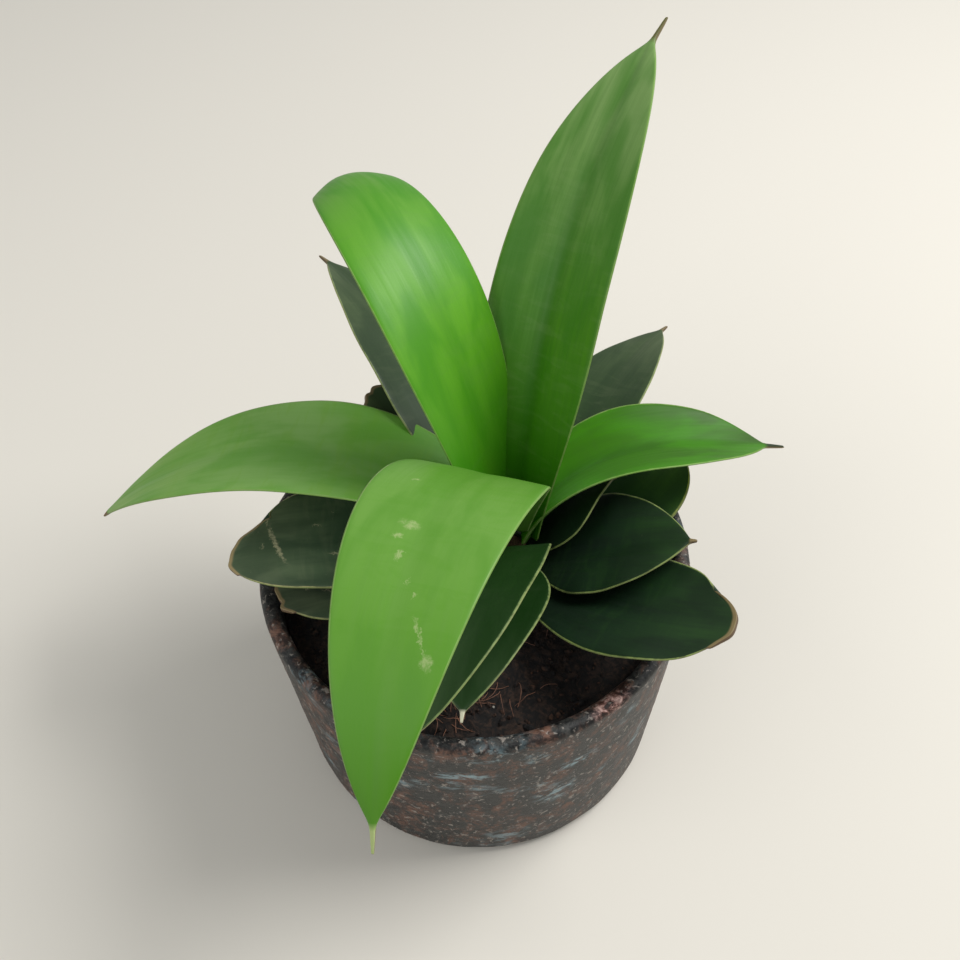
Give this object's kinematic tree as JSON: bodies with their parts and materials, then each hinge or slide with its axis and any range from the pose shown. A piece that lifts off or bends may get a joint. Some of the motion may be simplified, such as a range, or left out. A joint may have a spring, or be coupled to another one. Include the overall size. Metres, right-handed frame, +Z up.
{
  "type": "potted snake plant",
  "caption": "Bird's-nest snake plant, a low rosette of broad pointed leaves, growing in a round straight-sided pot that stands on a table.",
  "frame": {"origin": "middle of the pot's flat foot, on the surface that it stands on", "axes": "+Z up through the pot; +X to the right and +Y to the back, seen from the front, where the broad front leaf hangs over the rim"},
  "size_m": [0.215, 0.1969, 0.2078],
  "materials": {
    "pot": "satin",
    "soil": "matte",
    "rootstock": "matte",
    "young_leaf": "satin",
    "old_leaf": "satin"
  },
  "bodies": {
    "root": {"pot": "pot", "soil": "soil", "rootstock": "rootstock", "leaf_tall": "young_leaf", "leaf_arched_back": "young_leaf", "leaf_right": "young_leaf", "leaf_front": "young_leaf", "leaf_left": "young_leaf", "leaf_short_right": "old_leaf", "leaf_front_fold": "old_leaf", "leaf_back_right": "old_leaf", "leaf_back_left": "old_leaf", "leaf_right_upper": "old_leaf", "leaf_right_middle": "old_leaf", "leaf_front_short": "old_leaf", "leaf_left_back": "old_leaf", "leaf_left_middle": "old_leaf", "leaf_right_lower": "old_leaf", "leaf_left_lower": "old_leaf"}
  },
  "joints": []
}
